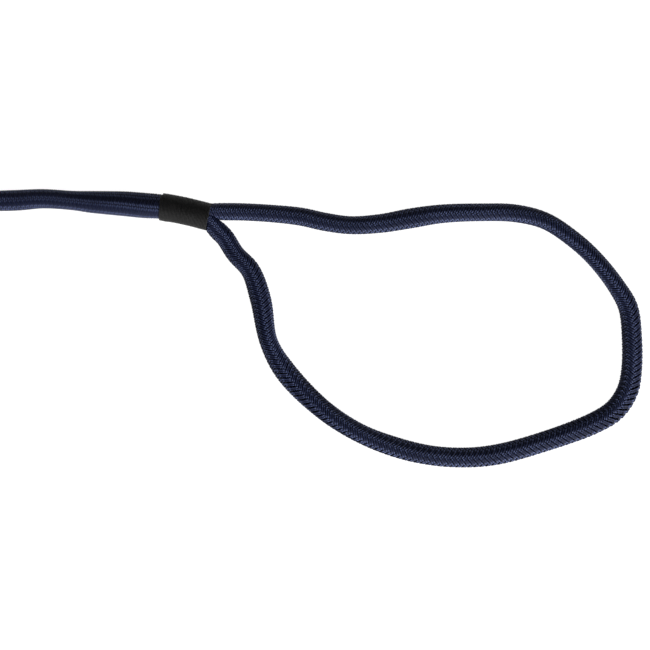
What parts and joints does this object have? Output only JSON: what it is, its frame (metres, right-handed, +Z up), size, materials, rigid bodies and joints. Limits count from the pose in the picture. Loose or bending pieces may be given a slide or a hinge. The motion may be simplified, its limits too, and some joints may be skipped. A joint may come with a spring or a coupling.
{
  "type": "dock line",
  "caption": "Double-braid dock line with a whipped, spliced eye; the standing part runs to a neat round coil held by strap ties.",
  "frame": {"origin": "middle of the whole line's footprint, on the flat surface it lies on", "axes": "+X from the coil towards the crown of the eye, +Z up off the surface, +Y level across the line towards the standing part's side"},
  "size_m": [0.5207, 0.1577, 0.0315],
  "materials": {
    "navy_cover": "braided nylon filament, soft sheen",
    "braided_core": "braided nylon filament, matte",
    "black_twine": "waxed whipping twine, dull",
    "tie_webbing": "hook-and-loop webbing, matte"
  },
  "bodies": {
    "root": {"eye_cover": "navy_cover", "eye_core": "braided_core", "standing_cover": "navy_cover", "standing_core": "braided_core", "buried_tail": "navy_cover", "throat_whipping": "black_twine", "coiled_line": "navy_cover", "bitter_end_cover": "navy_cover", "bitter_end_core": "braided_core", "end_whipping": "black_twine", "coil_tie_1": "tie_webbing", "coil_tie_2": "tie_webbing"}
  },
  "joints": []
}
